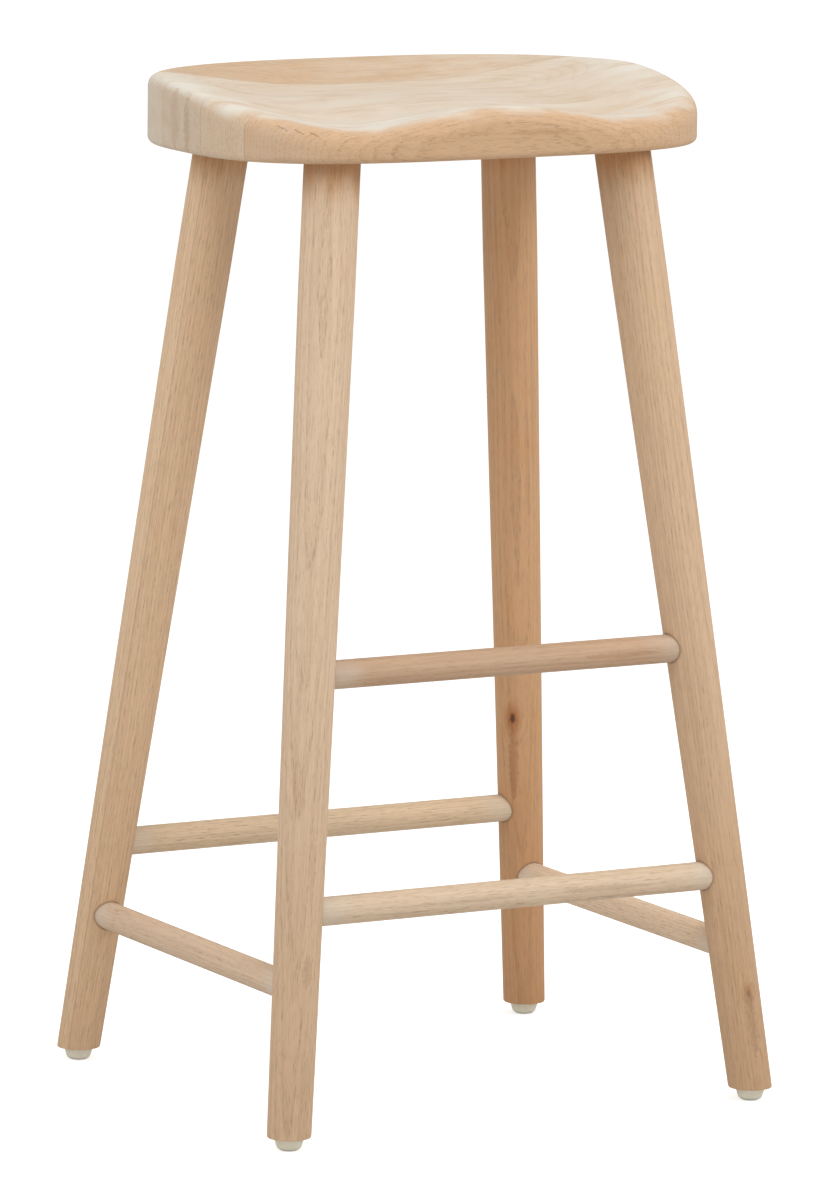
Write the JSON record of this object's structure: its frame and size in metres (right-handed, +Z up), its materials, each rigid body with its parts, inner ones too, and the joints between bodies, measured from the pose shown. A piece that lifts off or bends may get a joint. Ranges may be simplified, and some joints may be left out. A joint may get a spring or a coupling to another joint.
{
  "type": "bar stool",
  "caption": "Backless wooden bar stool with a sculpted saddle seat, splayed tapered round legs, round stretchers, a front footrest bar and domed floor glides.",
  "frame": {"origin": "on the floor, in the middle of the four feet", "axes": "+Z up, -Y towards the front with the footrest, +X to the right of someone who faces the front edge from the sitter's side"},
  "size_m": [0.4164, 0.372, 0.7497],
  "materials": {
    "seat_wood": "matt whitewashed oil on solid oak, glued from staves",
    "leg_wood": "matt whitewashed oil on turned solid oak",
    "stretcher_wood": "matt whitewashed oil on oak dowel",
    "glide_plastic": "moulded, slightly milky",
    "nail_steel": "zinc plated"
  },
  "bodies": {
    "root": {"seat_stave_1_front": "seat_wood", "seat_stave_2": "seat_wood", "seat_stave_3": "seat_wood", "seat_stave_4": "seat_wood", "seat_stave_5_back": "seat_wood", "leg_front_left": "leg_wood", "leg_front_right": "leg_wood", "leg_back_left": "leg_wood", "leg_back_right": "leg_wood", "footrest_front_upper": "stretcher_wood", "stretcher_front_lower": "stretcher_wood", "stretcher_back": "stretcher_wood", "stretcher_left": "stretcher_wood", "stretcher_right": "stretcher_wood", "glide_front_left": "glide_plastic", "glide_front_right": "glide_plastic", "glide_back_left": "glide_plastic", "glide_back_right": "glide_plastic", "glide_nail_front_left": "nail_steel", "glide_nail_front_right": "nail_steel", "glide_nail_back_left": "nail_steel", "glide_nail_back_right": "nail_steel"}
  },
  "joints": []
}
